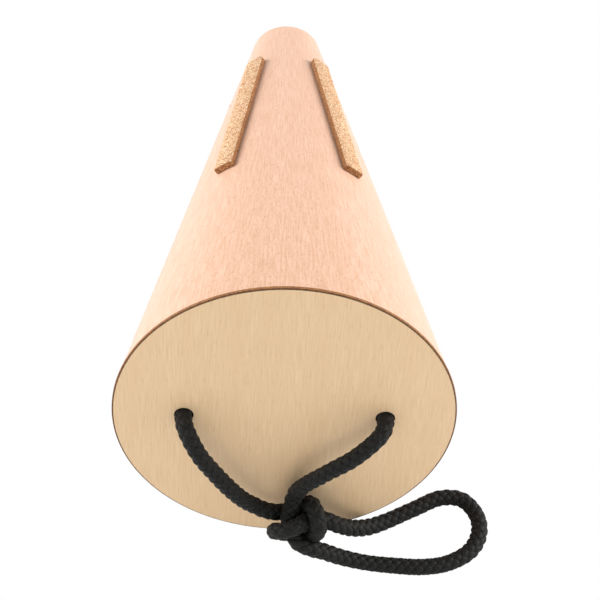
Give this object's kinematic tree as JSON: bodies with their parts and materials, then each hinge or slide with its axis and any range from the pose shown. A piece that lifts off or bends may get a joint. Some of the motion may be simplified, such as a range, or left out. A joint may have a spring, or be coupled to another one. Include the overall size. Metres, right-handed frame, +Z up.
{
  "type": "french horn straight mute",
  "caption": "Hollow wooden cone closed by a flat disc at its wide end, with cork strips along it and a knotted braided cord loop to carry it by.",
  "frame": {"origin": "on the table, below the middle of the mute as it lies on its rim and its bottom cork strip", "axes": "+Z up, +Y from the closed wide end towards the open narrow end along the table, +X to the right as seen facing the wide end"},
  "size_m": [0.1328, 0.239, 0.1142],
  "materials": {
    "beech": "satin sanded",
    "birch_ply": "satin sanded",
    "cork": "matte granulated cork",
    "cord": "matte braided"
  },
  "bodies": {
    "root": {"cone_shell": "beech", "base_disc": "birch_ply", "base_hoop": "birch_ply", "cork_strip_bottom": "cork", "cork_strip_right": "cork", "cork_strip_top_right": "cork", "cork_strip_top_left": "cork", "cork_strip_left": "cork", "cord_left_strand": "cord", "cord_knot": "cord", "cord_loop": "cord", "cord_right_strand": "cord", "stopper_knot_left": "cord", "stopper_knot_right": "cord"}
  },
  "joints": []
}
